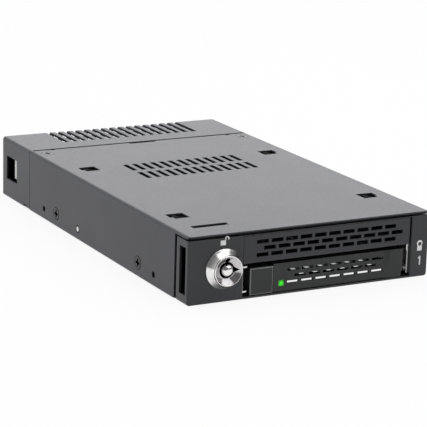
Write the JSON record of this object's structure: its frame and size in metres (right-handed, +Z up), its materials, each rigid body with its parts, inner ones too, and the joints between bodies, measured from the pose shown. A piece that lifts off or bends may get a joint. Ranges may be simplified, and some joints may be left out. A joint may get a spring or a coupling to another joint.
{
  "type": "hot swap drive cage",
  "caption": "Hot swap drive cage: folded steel housing with vents and a tubular lock, and a sliding drive tray with a vented face, an eject lever and a latch button.",
  "frame": {"origin": "middle of the underside, half way between the front face and the rear wall", "axes": "+X to the right seen from the front, +Y from the front to the back, +Z up"},
  "size_m": [0.1016, 0.1786, 0.0254],
  "materials": {
    "bezel_paint": "satin black paint",
    "cover_paint": "fine-grained black powder coat",
    "zinc_sheet": "zinc-plated sheet",
    "rail_steel": "bare cold-rolled sheet",
    "lock_chrome": "bright chrome plate",
    "screw_steel": "bright zinc plate",
    "black_screw": "blackened steel",
    "board_green": "solder mask",
    "connector_black": "moulded nylon",
    "contact_gold": "gold flash",
    "lamp_green": "lit lamp",
    "tray_black": "satin black paint",
    "lever_black": "fine-grained moulding",
    "latch_black": "fine-grained moulding",
    "pipe_clear": "clear acrylic",
    "lens_green": "lit window"
  },
  "bodies": {
    "housing": {"front_bezel": "bezel_paint", "cage_cover": "cover_paint", "base_plate": "zinc_sheet", "rear_cover": "cover_paint", "left_guide": "zinc_sheet", "right_guide": "zinc_sheet", "lock_brace": "zinc_sheet", "lock_housing": "lock_chrome", "lock_nut": "screw_steel", "top_screws": "black_screw", "side_screws": "black_screw", "wall_rivets": "screw_steel", "backplane_board": "board_green", "board_screws": "screw_steel", "drive_connector": "connector_black", "connector_contacts": "contact_gold", "power_connector": "connector_black", "data_connector": "connector_black", "status_led": "lamp_green"},
    "lock": {"lock_core": "lock_chrome", "lock_cam": "screw_steel", "cam_nut": "screw_steel"},
    "tray": {"tray_face": "tray_black", "tray_rail_left": "rail_steel", "tray_rail_right": "rail_steel", "tray_floor": "rail_steel", "hinge_bracket": "rail_steel", "hinge_pin": "screw_steel", "tray_rivets": "screw_steel", "light_pipe": "pipe_clear"},
    "lever": {"eject_lever": "lever_black", "lever_lens": "lens_green"},
    "latch": {"latch_button": "latch_black", "latch_clip": "latch_black"}
  },
  "joints": [
    {"name": "tray_slide", "type": "slide", "parent": "housing", "child": "tray", "axis": [0, -1, 0], "range_m": [0, 0.122]},
    {"name": "lever_swing", "type": "hinge", "parent": "tray", "child": "lever", "pos_m": [0.0384, -0.0847, 0.0064], "axis": [0, 0, 1], "range_deg": [0, 75]},
    {"name": "latch_slide", "type": "slide", "parent": "tray", "child": "latch", "axis": [-1, 0, 0], "range_m": [0, 0.0016], "stiffness_N_per_m": 300, "springref_m": -0.003},
    {"name": "lock_turn", "type": "hinge", "parent": "housing", "child": "lock", "pos_m": [-0.0361, -0.0875, 0.0124], "axis": [0, 1, 0], "range_deg": [0, 90]}
  ]
}
